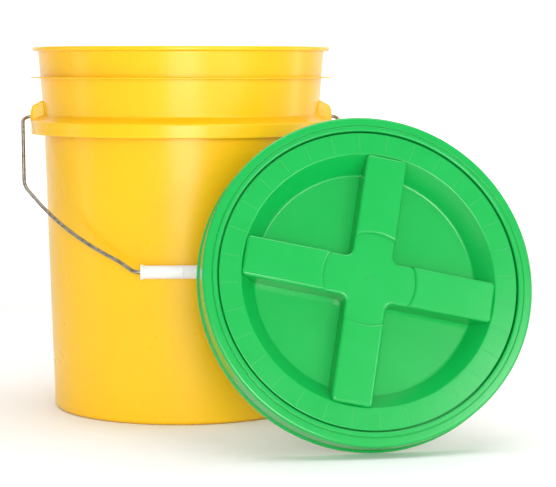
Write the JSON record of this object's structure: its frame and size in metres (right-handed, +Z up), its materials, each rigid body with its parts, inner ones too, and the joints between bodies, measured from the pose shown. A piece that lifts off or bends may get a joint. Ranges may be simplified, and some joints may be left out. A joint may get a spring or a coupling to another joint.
{
  "type": "fermenting bucket",
  "caption": "Tapered plastic bucket with a wire bail and grip, and a two-part lid: an adapter ring with a gasket and a screw lid turned by a raised cross.",
  "frame": {"origin": "centre of the bucket's flat underside", "axes": "+Z up the bucket's axis, X along the bail's hinge line, front towards -Y"},
  "size_m": [0.4869, 0.4563, 0.3683],
  "materials": {
    "bucket_plastic": "smooth semi-gloss moulded polyethylene, yellow",
    "bail_wire": "galvanised drawn wire",
    "grip_plastic": "moulded polyethylene, white",
    "lid_plastic": "smooth semi-gloss moulded polyethylene, green",
    "seal_rubber": "matt sealing rubber"
  },
  "bodies": {
    "bucket": {"bucket": "bucket_plastic"},
    "bail": {"bail": "bail_wire"},
    "grip": {"grip": "grip_plastic"},
    "lid_ring": {"lid_ring": "lid_plastic", "rim_gasket": "seal_rubber"},
    "lid_seal": {"lid_seal": "seal_rubber"},
    "screw_lid": {"screw_lid": "lid_plastic"}
  },
  "joints": [
    {"name": "bail_swing", "type": "hinge", "parent": "bucket", "child": "bail", "pos_m": [0, 0, 0.2973], "axis": [-1, 0, 0], "range_deg": [0, 270.6]},
    {"name": "grip_spin", "type": "hinge", "parent": "bail", "child": "grip", "pos_m": [0, -0.14366, 0.1519], "axis": [1, 0, 0], "continuous": true},
    {"name": "lid_set_lift", "type": "slide", "parent": "bucket", "child": "lid_ring", "axis": [0, 0, 1], "range_m": [0, 0.4]},
    {"name": "lid_rise", "type": "slide", "parent": "lid_ring", "child": "lid_seal", "axis": [0.1316, -0.9363, 0.3256], "range_m": [0, 0.036]},
    {"name": "lid_turn", "type": "hinge", "parent": "lid_seal", "child": "screw_lid", "pos_m": [0.17, -0.2449, 0.15484], "axis": [0.1316, -0.9363, 0.3256], "range_deg": [0, 1080]}
  ],
  "couplings": [
    {"joint": "lid_rise", "follows": "lid_turn", "m_per_rad": 0.0019099}
  ]
}
